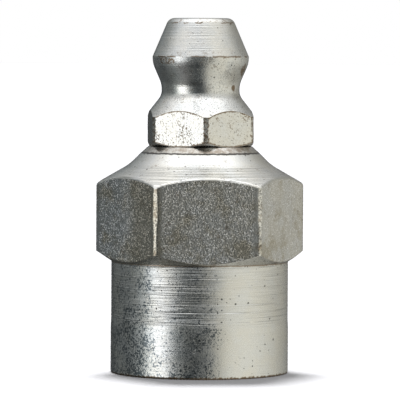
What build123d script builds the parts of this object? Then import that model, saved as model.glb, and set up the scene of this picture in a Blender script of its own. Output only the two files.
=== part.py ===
from build123d import *
import math
import os

# Grease nipple on a hexagonal adapter.
#
# A hydraulic grease nipple is screwed down into the top of an adapter that is turned from
# hexagon bar. Below the hexagon the adapter is a plain round sleeve with a female thread,
# which screws onto a threaded stub. Grease pushed in at the nipple's tip lifts a ball off
# its seat against a small spring, and runs down through the nipple into the sleeve.
#
# Millimetres, +Z up. The origin is the centre of the sleeve's open rim, and the part
# stands on that rim. Two flats of the large hexagon face +Y and -Y.
# Threads are plain walls: the female one at its minor diameter, the nipple's own at its
# mean diameter.

# ---------------------------------------------------------------- adapter, outside
hex_flats = 12.15            # large hexagon across its flats
hex_edge_round = 0.14        # worn radius along the six upright edges
hex_chamfer_angle = 30.0     # turned chamfers above and below the hexagon
sleeve_diameter = 11.95
sleeve_length = 7.58         # rim to the underside of the hexagon
band_diameter = 11.90        # grooved stretch of the sleeve next to the hexagon
band_length = 4.0
rim_chamfer = 0.28           # broken outer edge of the open rim
nose_base_diameter = 9.52    # where the upper chamfer turns into the steeper nose
nose_base_height = 14.06
nose_angle = 45.0
collar_diameter = 8.10       # flatter collar that ends the nose
collar_angle = 39.3
seat_land_diameter = 7.00    # flat top that the nipple is tightened against

# ---------------------------------------------------------------- adapter, inside
female_thread_diameter = 10.0
female_thread_pitch = 1.0
female_bore_depth = 9.0
female_mouth_diameter = 10.3
drill_point_angle = 118.0
tapped_countersink = 0.33

# ---------------------------------------------------------------- nipple body, outside
nipple_hex_flats = 6.80
nipple_hex_turn = 31.1       # where the small hexagon came to rest when it was tightened
nipple_edge_round = 0.06
nipple_seat_diameter = 6.50
nipple_lower_chamfer_angle = 32.0
nipple_hex_height = 2.50     # seat face to the top of a flat
nipple_upper_chamfer_angle = 45.0
shoulder_slope = 37.1        # shoulder cone between hexagon and neck, from the axis
neck_diameter = 5.26
neck_round = 1.15
head_diameter = 6.50         # the land that a coupler's jaws close behind
head_lower_slope = 22.35     # jaw seat below the land, from the axis
head_upper_slope = 23.1      # lead-in cone above the land, from the axis
head_land_round = 1.05
head_lead_height = 2.758     # where the head's two cones meet, up to the crown
crown_round = 0.40

# ---------------------------------------------------------------- nipple body, thread
nipple_thread_diameter = 6.0
nipple_thread_pitch = 1.0
thread_clearance = 0.01      # radial gap between the plain walls that stand for the threads
shank_length = 5.0
shank_chamfer = 0.4
relief_diameter = 4.9
relief_length = 0.8

# ---------------------------------------------------------------- valve
ball_diameter = 2.5
ball_seat_gap = 0.015        # clearance square to the seat
ball_depth = 0.08            # crown to the top of the ball
seat_angle = 30.0            # seat cone, from the axis
seat_opening_diameter = 2.1
lip_mouth_diameter = 3.4     # dished mouth of the rolled lip
lip_round = 0.16
valve_bore_diameter = 2.8
spring_step_height = 1.4     # nipple's seat face to the step under the spring
grease_hole_diameter = 1.8
grease_hole_chamfer = 0.3
spring_wire = 0.3
spring_wire_flats = 8        # the round wire is drawn with flats, so that its coils stay light
spring_bore_gap = 0.15       # spring's outside to the valve bore
spring_end_gap = 0.02        # spring to the step and to the ball
spring_coil_gap = 0.04       # between the closed end turns
spring_active_turns = 4

# ---------------------------------------------------------------- worked-out sizes


def rise(angle):
    """Height for each millimetre of radius, on a cone this steep from the horizontal."""
    return math.tan(math.radians(angle))


def spread(angle):
    """Radius for each millimetre of height, on a cone this far off the axis."""
    return math.tan(math.radians(angle))


def corner_cut(radius, angle_a, angle_b):
    """How far a tangent round of this radius stays inside the corner of two cones."""
    sine_a = math.sin(math.radians(angle_a))
    sine_b = math.sin(math.radians(angle_b))
    return radius * (sine_a + sine_b) / math.sin(math.radians(angle_a + angle_b)) - radius


sleeve_radius = sleeve_diameter / 2
band_radius = band_diameter / 2
nose_base_radius = nose_base_diameter / 2
collar_radius = collar_diameter / 2
seat_land_radius = seat_land_diameter / 2

# the chamfer cones run out past the hexagon's corners, and the hexagon trims them
envelope_radius = hex_flats / 2 / math.cos(math.radians(30)) + 1.0
lower_chamfer_end = sleeve_length + (envelope_radius - band_radius) * rise(hex_chamfer_angle)
upper_chamfer_end = nose_base_height - (
    envelope_radius - nose_base_radius
) * rise(hex_chamfer_angle)
collar_height = nose_base_height + (nose_base_radius - collar_radius) * rise(nose_angle)
adapter_height = collar_height + (collar_radius - seat_land_radius) * rise(collar_angle)

female_bore_radius = (female_thread_diameter - 1.0825 * female_thread_pitch) / 2
female_mouth_radius = female_mouth_diameter / 2
female_mouth_depth = female_mouth_radius - female_bore_radius
tapped_radius = (nipple_thread_diameter - 0.65 * nipple_thread_pitch) / 2
drill_point_top = female_bore_depth + (female_bore_radius - tapped_radius) * rise(
    90 - drill_point_angle / 2
)

shank_radius = tapped_radius - thread_clearance
shank_end = adapter_height - shank_length
relief_radius = relief_diameter / 2
nipple_seat_radius = nipple_seat_diameter / 2
nipple_flat_radius = nipple_hex_flats / 2
nipple_envelope = nipple_flat_radius / math.cos(math.radians(30)) + 0.5
nipple_flat_top = adapter_height + nipple_hex_height
nipple_lower_chamfer_end = adapter_height + (
    nipple_envelope - nipple_seat_radius
) * rise(nipple_lower_chamfer_angle)
nipple_upper_chamfer_end = nipple_flat_top - (
    nipple_envelope - nipple_flat_radius
) * rise(nipple_upper_chamfer_angle)
waist_radius = neck_diameter / 2 - corner_cut(neck_round, shoulder_slope, head_lower_slope)
waist_height = nipple_flat_top + (nipple_flat_radius - waist_radius) / spread(shoulder_slope)
land_radius = head_diameter / 2 + corner_cut(head_land_round, head_lower_slope, head_upper_slope)
land_height = waist_height + (land_radius - waist_radius) / spread(head_lower_slope)
crown_height = land_height + head_lead_height
crown_radius = land_radius - head_lead_height * spread(head_upper_slope)

ball_radius = ball_diameter / 2
valve_bore_radius = valve_bore_diameter / 2
seat_opening_radius = seat_opening_diameter / 2
lip_mouth_radius = lip_mouth_diameter / 2
grease_hole_radius = grease_hole_diameter / 2
ball_centre = crown_height - ball_depth - ball_radius
seat_sine = math.sin(math.radians(seat_angle))
seat_contact_radius = ball_radius * math.cos(math.radians(seat_angle))
seat_contact_height = ball_centre + ball_radius * seat_sine + ball_seat_gap / seat_sine
seat_opening_height = seat_contact_height + (
    seat_contact_radius - seat_opening_radius
) / spread(seat_angle)
seat_bottom = seat_opening_height - (valve_bore_radius - seat_opening_radius) / spread(seat_angle)
spring_step = adapter_height + spring_step_height

wire_radius = spring_wire / 2
coil_radius = valve_bore_radius - spring_bore_gap - wire_radius
coil_bottom = spring_step + wire_radius + spring_end_gap
ball_to_wire = ball_radius + wire_radius + spring_end_gap
coil_top = ball_centre - math.sqrt(ball_to_wire**2 - coil_radius**2)
closed_pitch = spring_wire + spring_coil_gap
active_length = coil_top - coil_bottom - 2 * closed_pitch
active_pitch = active_length / spring_active_turns

os.makedirs("parts", exist_ok=True)

# ---------------------------------------------------------------- adapter
with BuildPart() as adapter:
    # turned outline, from the rim up to the seat for the nipple
    with BuildSketch(Plane.XZ):
        with BuildLine():
            Polyline(
                (0, 0),
                (sleeve_radius - rim_chamfer, 0),
                (sleeve_radius, rim_chamfer),
                (sleeve_radius, sleeve_length - band_length),
                (band_radius, sleeve_length - band_length),
                (band_radius, sleeve_length),
                (envelope_radius, lower_chamfer_end),
                (envelope_radius, upper_chamfer_end),
                (nose_base_radius, nose_base_height),
                (collar_radius, collar_height),
                (seat_land_radius, adapter_height),
                (0, adapter_height),
                (0, 0),
            )
        make_face()
    revolve(axis=Axis.Z)

    # the hexagon bar that it was turned from, with worn edges
    with BuildSketch() as bar:
        RegularPolygon(hex_flats / 2, 6, major_radius=False)
        fillet(bar.vertices(), hex_edge_round)
    extrude(amount=adapter_height, mode=Mode.INTERSECT)

    # female thread's bore, drilled from the rim, then the tapped hole for the nipple
    with BuildSketch(Plane.XZ):
        with BuildLine():
            Polyline(
                (0, 0),
                (female_mouth_radius, 0),
                (female_bore_radius, female_mouth_depth),
                (female_bore_radius, female_bore_depth),
                (tapped_radius, drill_point_top),
                (tapped_radius, adapter_height - tapped_countersink),
                (tapped_radius + tapped_countersink, adapter_height),
                (0, adapter_height),
                (0, 0),
            )
        make_face()
    revolve(axis=Axis.Z, mode=Mode.SUBTRACT)
adapter.part.label = "adapter"
export_step(adapter.part, "parts/adapter.step")

# ---------------------------------------------------------------- nipple body
with BuildPart() as nipple_body:
    # turned outline: threaded shank, relief, hexagon, shoulder, neck, head and crown
    with BuildSketch(Plane.XZ):
        with BuildLine():
            Polyline(
                (0, shank_end),
                (shank_radius - shank_chamfer, shank_end),
                (shank_radius, shank_end + shank_chamfer),
                (shank_radius, adapter_height - relief_length),
                (relief_radius, adapter_height - relief_length),
                (relief_radius, adapter_height),
                (nipple_seat_radius, adapter_height),
                (nipple_envelope, nipple_lower_chamfer_end),
                (nipple_envelope, nipple_upper_chamfer_end),
                (nipple_flat_radius, nipple_flat_top),
            )
            FilletPolyline(
                (nipple_flat_radius, nipple_flat_top),
                (waist_radius, waist_height),
                (land_radius, land_height),
                (crown_radius, crown_height),
                (0, crown_height),
                radius=[neck_round, head_land_round, crown_round],
            )
            Line((0, crown_height), (0, shank_end))
        make_face()
    revolve(axis=Axis.Z)

    # the smaller hexagon bar that it was turned from
    with BuildSketch(Plane.XY.offset(shank_end)) as small_bar:
        RegularPolygon(nipple_flat_radius, 6, major_radius=False, rotation=nipple_hex_turn)
        fillet(small_bar.vertices(), nipple_edge_round)
    extrude(amount=crown_height - shank_end, mode=Mode.INTERSECT)

    # grease hole, valve bore, ball seat and the dished mouth of the rolled lip
    with BuildSketch(Plane.XZ):
        with BuildLine():
            Polyline(
                (0, shank_end),
                (grease_hole_radius + grease_hole_chamfer, shank_end),
                (grease_hole_radius, shank_end + grease_hole_chamfer),
                (grease_hole_radius, spring_step),
                (valve_bore_radius, spring_step),
                (valve_bore_radius, seat_bottom),
                (seat_opening_radius, seat_opening_height),
                (lip_mouth_radius, crown_height),
                (0, crown_height),
                (0, shank_end),
            )
        make_face()
    revolve(axis=Axis.Z, mode=Mode.SUBTRACT)
    lip_edge = nipple_body.edges().filter_by(GeomType.CIRCLE).filter_by(
        lambda edge: abs(edge.radius - lip_mouth_radius) < 0.001
    )
    fillet(lip_edge, lip_round)
nipple_body.part.label = "nipple_body"
export_step(nipple_body.part, "parts/nipple_body.step")

# ---------------------------------------------------------------- check ball
with BuildPart() as check_ball:
    with Locations((0, 0, ball_centre)):
        Sphere(ball_radius)
check_ball.part.label = "check_ball"
export_step(check_ball.part, "parts/check_ball.step")

# ---------------------------------------------------------------- ball spring
with BuildPart() as ball_spring:
    # one closed turn, the open turns, and one closed turn under the ball
    with BuildLine():
        first_turn = Helix(closed_pitch, closed_pitch, coil_radius, center=(0, 0, coil_bottom))
        Helix(
            active_pitch, active_length, coil_radius, center=(0, 0, coil_bottom + closed_pitch)
        )
        last_turn = Helix(
            closed_pitch,
            closed_pitch,
            coil_radius,
            center=(0, 0, coil_top - closed_pitch),
            mode=Mode.PRIVATE,
        )
        add(last_turn.rotate(Axis.Z, 360 * spring_active_turns))
    with BuildSketch(Plane(origin=first_turn @ 0, z_dir=first_turn % 0)):
        RegularPolygon(wire_radius, spring_wire_flats, rotation=180 / spring_wire_flats)
    sweep(is_frenet=True, transition=Transition.TRANSFORMED)
ball_spring.part.label = "ball_spring"
export_step(ball_spring.part, "parts/ball_spring.step")

print(f"coupler head: centre of the land at {land_height:.3f}, crown at {crown_height:.3f}")
print(f"adapter: bore radius {female_bore_radius:.4f}, top at {adapter_height:.3f}")
print(f"nipple: flats' top at {nipple_flat_top:.3f}, shank end at {shank_end:.3f}")
print(f"valve: ball centre at {ball_centre:.3f}, spring step at {spring_step:.3f}")
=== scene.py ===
import math

import bmesh
import bpy
from bpy.props import FloatProperty, FloatVectorProperty, IntProperty, PointerProperty
from bpy.types import Operator, Panel, PropertyGroup
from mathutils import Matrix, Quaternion, Vector, noise


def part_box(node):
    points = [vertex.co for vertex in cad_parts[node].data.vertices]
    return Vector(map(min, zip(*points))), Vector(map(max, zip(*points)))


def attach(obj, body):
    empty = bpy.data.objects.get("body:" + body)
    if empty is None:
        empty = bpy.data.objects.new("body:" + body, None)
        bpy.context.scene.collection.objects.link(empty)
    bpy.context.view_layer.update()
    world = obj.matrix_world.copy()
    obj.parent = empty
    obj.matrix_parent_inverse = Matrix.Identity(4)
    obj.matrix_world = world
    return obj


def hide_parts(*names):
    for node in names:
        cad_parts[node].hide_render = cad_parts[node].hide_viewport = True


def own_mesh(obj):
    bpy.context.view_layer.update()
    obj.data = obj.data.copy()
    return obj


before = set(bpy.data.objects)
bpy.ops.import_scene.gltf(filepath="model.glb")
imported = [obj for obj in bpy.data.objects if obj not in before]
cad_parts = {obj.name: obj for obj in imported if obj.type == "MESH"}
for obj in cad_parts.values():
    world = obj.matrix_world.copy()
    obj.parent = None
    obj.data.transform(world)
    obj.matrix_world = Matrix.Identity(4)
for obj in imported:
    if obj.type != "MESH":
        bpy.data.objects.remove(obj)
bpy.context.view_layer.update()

bl_info = {
    "name": "Grease nipple",
    "version": (1, 0, 0),
    "blender": (4, 5, 0),
    "location": "3D View > Sidebar > Nipple",
    "description": "A grease nipple on a hexagonal adapter, with its valve, finishes and studio",
    "category": "Object",
}

MM = 0.001
ADAPTER_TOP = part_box("adapter")[1].z
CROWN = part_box("nipple_body")[1].z
BALL_LOW, BALL_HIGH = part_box("check_ball")
SPRING_LOW, SPRING_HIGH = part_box("ball_spring")
SIXTH = math.tau / 6
WELD = 0.0001 * MM  # verts closer than this are one
SEAM = 0.0002 * MM  # the same, where the sixths of a turned form meet
LEAST_WEAR = 0.085 * MM  # keeps every upright edge inside the solid's own box
FEMALE_COLUMNS = 144  # faces round the adapter's own thread
MALE_COLUMNS = 96  # faces round the nipple's thread and the hole that it is screwed into
RUNOUT = 0.6 * MM  # height in which a female thread fades away
MALE_RUNOUT = 0.5 * MM  # the same for the nipple's thread
SHARP = math.radians(38)  # edges that fold more than this are shaded as sharp


# ---------------------------------------------------------------- sizes and colours


def length(label, description, millimetres):
    return FloatProperty(
        name=label, description=description, default=millimetres * MM,
        unit="LENGTH", subtype="DISTANCE", precision=5,
    )


def slope(label, description, degrees):
    return FloatProperty(
        name=label, description=description, default=math.radians(degrees),
        unit="ROTATION", subtype="ANGLE",
    )


def count(label, description, number):
    return IntProperty(name=label, description=description, default=number, min=3)


def amount(label, description, number):
    return FloatProperty(name=label, description=description, default=number, min=0.0)


def colour(label, description, *shades):
    return FloatVectorProperty(
        name=label, description=description, default=shades,
        size=3, subtype="COLOR", min=0.0, max=1.0,
    )


class AdapterSizes(PropertyGroup):
    """The adapter, turned from hexagon bar."""

    columns: count("Columns", "Faces round the adapter", 288)
    flats: length("Across flats", "Of the large hexagon", 12.15)
    facet_top: length("Worn edge, top", "Width of a worn edge at its top", 0.34)
    facet_foot: length("Worn edge, foot", "Width of a worn edge at its foot", 0.20)
    arc_top: length("Arc round, top", "Where the upper chamfer cuts a flat", 0.30)
    arc_foot: length("Arc round, foot", "Where the lower chamfer cuts a flat", 0.06)
    upper_chamfer: slope("Upper chamfer", "From the horizontal", 30)
    lower_chamfer: slope("Lower chamfer", "From the horizontal", 33.5)
    sleeve_radius: length("Sleeve radius", "Plain lower part of the sleeve", 5.975)
    band_radius: length("Band radius", "Grooved part of the sleeve", 5.95)
    band_length: length("Band length", "Grooved part of the sleeve", 4.0)
    sleeve_length: length("Sleeve length", "Rim to the underside of the hexagon", 7.51)
    rim_round: length("Rim round", "Broken outer edge of the rim", 0.13)
    groove_depth: length("Groove depth", "Deep turning grooves of the band", 0.018)
    groove_width: length("Groove width", "Deep turning grooves of the band", 0.085)
    nose_foot_radius: length("Nose foot radius", "Chamfer's upper end", 4.76)
    nose_foot: length("Nose foot", "Height of the chamfer's upper end", 14.01)
    nose_slope: slope("Nose slope", "Nose cone, from the horizontal", 45)
    collar_radius: length("Collar radius", "Where the nose turns into the collar", 4.05)
    land_radius: length("Land radius", "Flat top under the nipple", 3.5)
    mouth_radius: length("Mouth radius", "Countersink of the female thread", 5.15)
    thread_minor: length("Thread minor radius", "Female thread", 4.4588)
    thread_major: length("Thread major radius", "Female thread", 5.0)
    thread_pitch: length("Thread pitch", "Female thread", 1.0)
    bore_depth: length("Bore depth", "Rim to the end of the female thread", 9.0)
    drill_slope: slope("Drill point", "Floor of the bore, from the horizontal", 31)


class NippleSizes(PropertyGroup):
    """The nipple body, turned from a smaller hexagon bar."""

    columns: count("Columns", "Faces round the nipple", 240)
    flats: length("Across flats", "Of the small hexagon", 6.8)
    turn: slope("Turn", "Where the small hexagon came to rest", 31.1)
    facet_top: length("Worn edge, top", "Width of a worn edge at its top", 0.30)
    facet_foot: length("Worn edge, foot", "Width of a worn edge at its foot", 0.30)
    arc_top: length("Arc round, top", "Where the upper chamfer cuts a flat", 0.04)
    arc_foot: length("Arc round, foot", "Where the lower chamfer cuts a flat", 0.04)
    seat_radius: length("Seat radius", "Underside of the hexagon", 3.38)
    lower_chamfer: slope("Lower chamfer", "From the horizontal", 32)
    hexagon_height: length("Hexagon height", "Seat to the top of a flat", 2.44)
    upper_chamfer: slope("Upper chamfer", "From the horizontal", 45)
    neck_radius: length("Neck radius", "Narrowest part of the neck", 2.62)
    neck_foot: length("Neck foot", "Height where shoulder and neck would meet", 18.65)
    neck_foot_round: length("Neck foot round", "Shoulder to neck", 0.95)
    neck_top: length("Neck top", "Height where neck and head would meet", 19.382)
    neck_top_round: length("Neck top round", "Neck to head", 1.67)
    land_radius: length("Land radius", "Widest part of the head", 3.235)
    land_foot: length("Land foot", "Height where the lower cone and the land meet", 20.80)
    land_top: length("Land top", "Height where the land and the upper cone meet", 21.25)
    land_round: length("Land round", "Lower cone to land", 1.9)
    land_edge: length("Land edge", "Round between land and upper cone", 0.05)
    crown_radius: length("Crown radius", "Where the upper cone would meet the crown", 2.14)
    crown_round: length("Crown round", "Round of the crown", 0.58)
    relief_radius: length("Relief radius", "Thread relief under the hexagon", 2.45)
    relief_length: length("Relief length", "Thread relief under the hexagon", 0.8)
    shank_length: length("Shank length", "Below the hexagon", 5.0)
    thread_major: length("Thread major radius", "Male thread", 2.98)
    thread_minor: length("Thread minor radius", "Male thread", 2.44)
    thread_pitch: length("Thread pitch", "Male thread", 1.0)
    thread_gap: length("Thread gap", "Male thread to tapped hole", 0.015)
    lip_radius: length("Lip radius", "Dished mouth of the lip", 1.68)
    lip_round: length("Lip round", "Inner edge of the crown", 0.1)
    seat_opening: length("Seat opening radius", "Narrow end of the ball's seat", 1.05)
    seat_opening_height: length("Seat opening height", "Narrow end of the ball's seat", 23.2129)
    seat_foot: length("Seat foot", "Height of the wide end of the ball's seat", 22.6067)
    bore_radius: length("Valve bore radius", "Holds the ball and its spring", 1.4)
    step: length("Spring step", "Height of the floor under the spring", 16.62)
    hole_radius: length("Grease hole radius", "Below the spring step", 0.9)
    hole_chamfer: length("Grease hole chamfer", "Lower mouth of the grease hole", 0.3)


class ValveSizes(PropertyGroup):
    """The check ball and the spring under it."""

    ball_columns: count("Ball columns", "Faces round the ball", 96)
    ball_rings: count("Ball rings", "Faces from pole to pole", 64)
    wire: length("Wire radius", "Half the spring wire's thickness", 0.15)
    wire_sides: count("Wire sides", "Faces round the wire", 20)
    coil_radius: length("Coil radius", "Axis to the middle of the wire", 1.1)
    closed_pitch: length("Closed pitch", "Rise of each end turn", 0.34)
    active_turns: count("Active turns", "Open turns between the end turns", 4)
    steps: count("Steps", "Faces along each turn", 64)


class Finishes(PropertyGroup):
    """Colours and wear of the zinc plate and of the bare steel. Some of the colours also paint
    shade.
    """

    zinc: colour("Zinc", "Plain zinc plate", 0.752, 0.762, 0.755)
    zinc_warm: colour("Warm zinc", "Where the plate has yellowed", 0.765, 0.757, 0.715)
    film: colour("Film", "Thin bluish places in the plate", 0.36, 0.42, 0.47)
    # this colour also paints shade in the turning lines of the sleeve's band
    fleck_and_line_shade: colour("Flecks", "Small dark blue flecks in the plate", 0.130, 0.155, 0.175)
    # this colour also paints shade on the lower chamfer under the large hexagon
    olive_and_shade: colour("Olive film", "Brownish film on a flat", 0.50, 0.46, 0.36)
    # this colour also paints shade on the lower chamfer under the large hexagon and along the
    # rim's bottom edge
    rust_and_shade: colour("Rust", "Brown stains and pits", 0.200, 0.130, 0.070)
    grime: colour("Grime", "Dirt in joints and pits", 0.030, 0.028, 0.025)
    ball: colour("Ball", "Polished bearing steel", 0.66, 0.66, 0.65)
    wire: colour("Spring wire", "Drawn spring steel", 0.52, 0.51, 0.49)
    lines: amount("Turning lines", "Strength of the lines that the tool left", 1.0)
    grain: amount("Grain", "Strength of the grain of the plate", 1.0)
    stains: amount("Stains", "Strength of the rust stains", 1.0)


class Studio(PropertyGroup):
    """Camera, light tent and floor."""

    camera_distance: length("Camera distance", "From the axis", 240)
    camera_height: length("Camera height", "Above the floor", 22.3)
    camera_turn: slope("Camera turn", "Round the axis, from straight ahead", -5)
    camera_roll: slope("Camera roll", "Leans the picture a little", 0.3)
    aim_height: length("Aim height", "Where the camera points on the axis", 11.6)
    framed: length("Framed width", "Width that fills the picture at the axis", 26.9)
    tent_level: amount("Tent level", "How bright the light tent's panels are", 0.8)
    lamp_power: amount("Lamp power", "Of the lamp that throws the shadow on the floor", 7.0)
    lamp_width: slope("Lamp width", "Angle that this lamp fills", 15)
    lamp_tilt: slope("Lamp tilt", "Of this lamp, from straight down", -17)
    lamp_turn: slope("Lamp turn", "Of this lamp, round the axis", 5)
    floor: colour("Floor", "Plain floor", 0.36, 0.36, 0.37)


# ---------------------------------------------------------------- outlines and meshes


def clamp(number, low=0.0, high=1.0):
    return min(max(number, low), high)


def off_axis(place):
    """How far a place is from the axis."""
    return math.hypot(place.x, place.y)


def rounded(outline, steps=4):
    """Rounds the corners of an outline. A corner is (radius, height, round), and its tangent arc
    gets a guard point on each side, which keeps the shading of the straight walls true."""
    guard = 0.02 * MM
    points = [Vector(outline[0][:2])]
    for before, corner, after in zip(outline, outline[1:], outline[2:]):
        here = Vector(corner[:2])
        if len(corner) < 3 or not corner[2]:
            points.append(here)
            continue
        back = (Vector(before[:2]) - here).normalized()
        ahead = (Vector(after[:2]) - here).normalized()
        half = back.angle(ahead) / 2
        reach = corner[2] / math.tan(half)
        centre = here + (back + ahead).normalized() * corner[2] / math.sin(half)
        start = here + back * reach - centre
        end = here + ahead * reach - centre
        sweep = math.pi - 2 * half
        points.append(here + back * (reach + guard))
        for step in range(steps + 1):
            part = step / steps
            along = start * math.sin((1 - part) * sweep) + end * math.sin(part * sweep)
            points.append(centre + along / math.sin(sweep))
        points.append(here + ahead * (reach + guard))
    points.append(Vector(outline[-1][:2]))
    return points


class Rail:
    """An outline in the making, with what each of its points does where a hexagon trims it.

    follow: 1 where the point stays on the hexagon's wall, 0 where it stays on the turned form.
    lift: how far the point rises for each step that the wall moves out."""

    def __init__(self):
        self.points = []

    def turned(self, points):
        self.points += [(p[0], p[1], 0.0, 0.0) for p in points]

    def wall(self, sizes, foot, top):
        """A hexagon's wall at the middle of a flat, with a small round at each chamfer's arc."""
        rows = 24
        reach = 0.4 * MM
        flat = sizes.flats / 2
        foot_rise, top_fall = math.tan(sizes.lower_chamfer), math.tan(sizes.upper_chamfer)
        points = rounded([
            (flat - reach, foot - reach * foot_rise),
            (flat, foot, sizes.arc_foot),
            (flat, top, sizes.arc_top),
            (flat - reach, top + reach * top_fall),
        ], steps=5)[1:-1]
        half = len(points) // 2
        parts = [row / rows for row in range(1, rows)]
        middle = [points[half - 1].lerp(points[half], part) for part in parts]
        lifts = [(1 - part) * foot_rise - part * top_fall for part in parts]
        points[half:half] = middle
        lifts = [foot_rise] * half + lifts + [-top_fall] * half
        self.points += [(p[0], p[1], 1.0, lift) for p, lift in zip(points, lifts)]


def everything(bm):
    return list(bm.faces) + list(bm.edges) + list(bm.verts)


def strung(bm, points):
    """Verts at these (radius, height) points, and edges from each to the next."""
    verts = [bm.verts.new((radius, 0, height)) for radius, height in points]
    return verts, [bm.edges.new(pair) for pair in zip(verts, verts[1:])]


def spin(bm, geom, angle, steps, rise=0.0, copies=False, closed=False):
    """Spins geometry round the axis, and lifts it by the rise at each step."""
    return bmesh.ops.spin(
        bm, geom=geom, cent=(0, 0, 0), axis=(0, 0, 1), dvec=(0, 0, rise), angle=angle,
        steps=steps, use_merge=closed, use_duplicate=copies,
    )


def spin_by_sixths(bm, geom, columns, rise=0.0):
    """Spins a rail through a sixth of a turn, then repeats that sixth. The rise is for a whole
    turn, and makes a helix."""
    spin(bm, geom, SIXTH, columns // 6, rise=rise / columns)
    spin(bm, everything(bm), math.tau - SIXTH, 5, rise=rise / 6, copies=True)
    bmesh.ops.remove_doubles(bm, verts=bm.verts, dist=SEAM)


def turned_shell(rail, columns):
    """A rail spun once round the axis. Its verts keep the rail's follow and lift."""
    bm = bmesh.new()
    follow = bm.verts.layers.float.new("follow")
    lift = bm.verts.layers.float.new("lift")
    verts, edges = strung(bm, [point[:2] for point in rail.points])
    for vert, point in zip(verts, rail.points):
        vert[follow], vert[lift] = point[2:]
    spin_by_sixths(bm, verts + edges, columns)
    return bm


def off_corner(angle, turn):
    """Signed angle from the nearest corner of a hexagon whose first corner is at turn."""
    return (angle - turn + SIXTH / 2) % SIXTH - SIXTH / 2


def soft_least(a, b, blend):
    """The lesser of two lengths, with the kink between them rounded off."""
    share = clamp(0.5 + 0.5 * (b - a) / blend)
    return b + (a - b) * share - blend * share * (1 - share)


def edge_waves(number, height):
    """How unevenly an upright edge is worn along its height, around zero."""
    coarse = noise.noise(Vector((number * 7.7, 3.1, height / MM * 0.9)))
    fine = noise.noise(Vector((number * 5.3, 9.4, height / MM * 3.1)))
    return coarse + 0.5 * fine


def trim_to_hexagon(bm, sizes, foot, top, turn=0.0, wear=(1.0,) * 6):
    """Moves the trimmed verts out to a hexagon with worn upright edges, and crowds the columns
    towards its corners. Notes how near each vert is to an upright edge, 1 on it and 0 past 1 mm,
    and how near it is to a chamfer's arc, 1 on it and 0 past half a millimetre."""
    layers = bm.verts.layers.float
    follow, lift = layers["follow"], layers["lift"]
    edge = layers.new("edge")
    arc = layers.new("arc")
    flat = sizes.flats / 2
    corner = flat / math.cos(SIXTH / 2)
    crowding = 0.32
    soft = 0.012 * MM
    for vert in bm.verts:
        radius = off_axis(vert.co)
        angle = math.atan2(vert.co.y, vert.co.x)
        away = off_corner(angle, turn)
        number = round((angle - away - turn) / SIXTH) % 6
        share = abs(away) / (SIXTH / 2)
        crowded = away * (crowding + (1 - crowding) * share * share)
        angle += crowded - away
        part = clamp((vert.co.z - foot) / (top - foot))
        width = sizes.facet_foot + (sizes.facet_top - sizes.facet_foot) * part
        width *= clamp(1 + 0.45 * edge_waves(number, vert.co.z), 0.5, 1.5) * wear[number]
        width = max(width, LEAST_WEAR)
        facet = corner - width / (2 * math.tan(SIXTH))
        wall = flat / math.cos(SIXTH / 2 - abs(crowded))
        wall = soft_least(wall, facet / math.cos(crowded), soft)
        out = (wall - flat) * vert[follow]
        radius += out
        vert.co = (
            radius * math.cos(angle),
            radius * math.sin(angle),
            vert.co.z + out * vert[lift],
        )
        vert[edge] = max(0.0, 1 - radius * math.sin(abs(crowded)) / MM)
        below_arc = abs(top - out * math.tan(sizes.upper_chamfer) - vert.co.z)
        above_arc = abs(vert.co.z - foot - out * math.tan(sizes.lower_chamfer))
        vert[arc] = max(0.0, 1 - min(below_arc, above_arc) / (0.5 * MM)) * vert[follow]


def thread_shell(inner, outer, pitch, low, high, columns, limit):
    """A helical thread between two heights, as an open tube: a zigzag rail is spun once while it
    rises by one pitch, so that each tooth's end meets the next tooth's start.

    limit(height) gives the least and the greatest radius, which shape the thread's two ends."""
    bm = bmesh.new()
    flank = pitch * 5 / 16
    deep = outer - inner
    tooth = [
        (inner, 0),
        (inner, pitch / 8),
        (inner, pitch / 4),
        (inner + deep / 3, pitch / 4 + flank / 3),
        (inner + deep * 2 / 3, pitch / 4 + flank * 2 / 3),
        (outer, pitch / 4 + flank),
        (outer, pitch * 3 / 8 + flank),
        (inner + deep * 2 / 3, pitch - flank * 2 / 3),
        (inner + deep / 3, pitch - flank / 3),
    ]
    turns = range(math.floor(low / pitch) - 1, math.ceil(high / pitch) + 1)
    verts, edges = strung(bm, [(r, turn * pitch + z) for turn in turns for r, z in tooth])
    spin_by_sixths(bm, verts + edges, columns, rise=pitch)
    for height, side in ((low, 1), (high, -1)):
        bmesh.ops.bisect_plane(
            bm, geom=everything(bm), dist=WELD,
            plane_co=(0, 0, height), plane_no=(0, 0, side), clear_inner=True,
        )
    for vert in bm.verts:
        radius = off_axis(vert.co)
        scale = clamp(radius, *limit(vert.co.z)) / radius
        vert.co.x *= scale
        vert.co.y *= scale
    return bm


def close_rings(bm, heights, reach):
    """Fills the ring between the two open ends at each of these heights."""
    for height in heights:
        edges = [
            edge for edge in bm.edges if edge.is_boundary
            and all(height - reach < vert.co.z < height + reach for vert in edge.verts)
        ]
        bmesh.ops.triangle_fill(
            bm, edges=edges, normal=(0, 0, 1), use_beauty=True, use_dissolve=False,
        )


def joined(shells):
    """One bmesh of several."""
    bm = bmesh.new()
    for shell in shells:
        mesh = bpy.data.meshes.new("shell")
        shell.to_mesh(mesh)
        shell.free()
        bm.from_mesh(mesh)
        bpy.data.meshes.remove(mesh)
    return bm


def placed(name, bm):
    """Puts a bmesh into the scene as an object."""
    mesh = bpy.data.meshes.new(name)
    bm.to_mesh(mesh)
    bm.free()
    item = bpy.data.objects.new(name, mesh)
    bpy.context.scene.collection.objects.link(item)
    return item


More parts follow.
